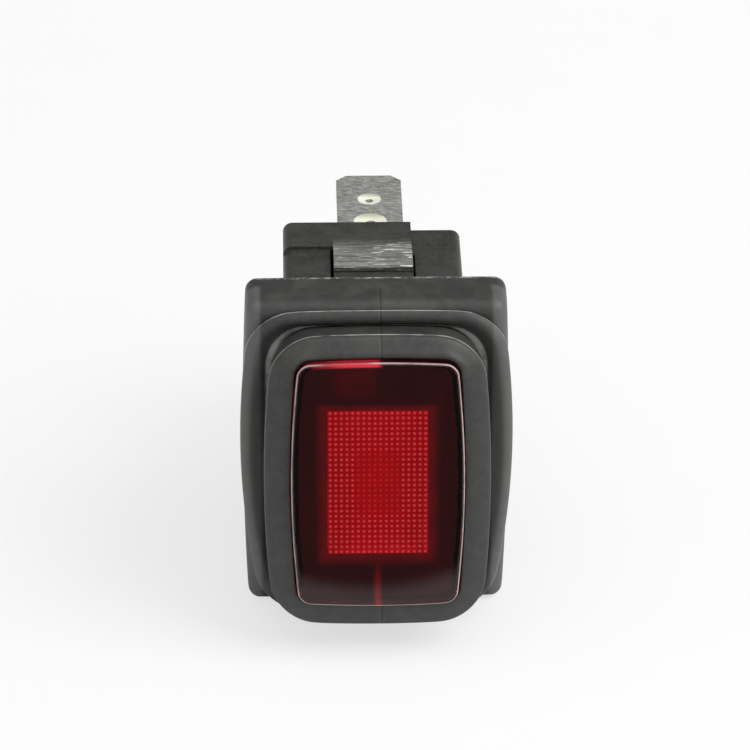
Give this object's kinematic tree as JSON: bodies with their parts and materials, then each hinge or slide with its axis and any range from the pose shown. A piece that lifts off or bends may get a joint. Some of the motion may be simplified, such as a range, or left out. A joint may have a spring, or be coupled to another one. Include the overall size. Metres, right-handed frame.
{
  "type": "sealed panel rocker switch",
  "caption": "Sealed snap-in panel rocker switch: black body with ridged snap arms, rubber boot with bellows, lit red lens on a tilting rocker, and flat blade terminals.",
  "frame": {"origin": "middle of the cut-out, on the panel's front face, which the rubber lip seats on", "axes": "+Y into the panel along the body and blades, +Z along the rocker towards the end that is pressed in, +X across the switch"},
  "size_m": [0.0192, 0.0355, 0.0244],
  "materials": {
    "body_plastic": "fine moulded matt black polyamide",
    "black_rubber": "soft satin black silicone rubber",
    "frame_plastic": "matt black polycarbonate",
    "red_lens": "polished dark red translucent polycarbonate",
    "red_diffuser": "red prismatic diffuser",
    "white_plastic": "white acetal",
    "lamp_glass": "clear glass with an orange tint",
    "resistor_body": "lacquered tan",
    "sleeve_plastic": "cream insulating sleeve",
    "spring_steel": "drawn steel wire",
    "copper_alloy": "stamped copper alloy",
    "silver_contact": "silver rivet",
    "tinned_brass": "dull tin plate over brass",
    "bronze_spring": "drawn phosphor bronze wire"
  },
  "bodies": {
    "body": {"housing": "body_plastic", "base": "body_plastic", "rubber_boot": "black_rubber", "terminal_common": "tinned_brass", "terminal_load": "tinned_brass", "terminal_lamp": "tinned_brass", "fixed_contact": "silver_contact", "upper_lamp_spring": "bronze_spring", "lower_lamp_spring": "bronze_spring"},
    "rocker": {"rocker_frame": "frame_plastic", "lens": "red_lens", "light_window": "red_diffuser", "lamp_tray": "white_plastic", "neon_lamp": "lamp_glass", "resistor": "resistor_body", "lead_sleeve": "sleeve_plastic", "plunger_spring": "spring_steel"},
    "plunger": {"plunger": "white_plastic"},
    "bridge": {"contact_bridge": "copper_alloy", "moving_contact": "silver_contact"}
  },
  "joints": [
    {"name": "rocker_tilt", "type": "hinge", "parent": "body", "child": "rocker", "pos_m": [0, -0.0034, 0], "axis": [1, 0, 0], "range_deg": [0, 20], "deforming": ["rubber_boot", "upper_lamp_spring", "lower_lamp_spring"]},
    {"name": "plunger_slide", "type": "slide", "parent": "rocker", "child": "plunger", "axis": [0, -0.9848, 0.1736], "range_m": [0, 0.0006], "stiffness_N_per_m": 800, "springref_m": -0.0004, "deforming": ["plunger_spring"]},
    {"name": "bridge_rock", "type": "hinge", "parent": "body", "child": "bridge", "pos_m": [0, 0.00725, 0], "axis": [1, 0, 0], "range_deg": [-16, 0]}
  ],
  "couplings": [
    {"joint": "bridge_rock", "follows": "rocker_tilt", "ratio": -0.8}
  ]
}
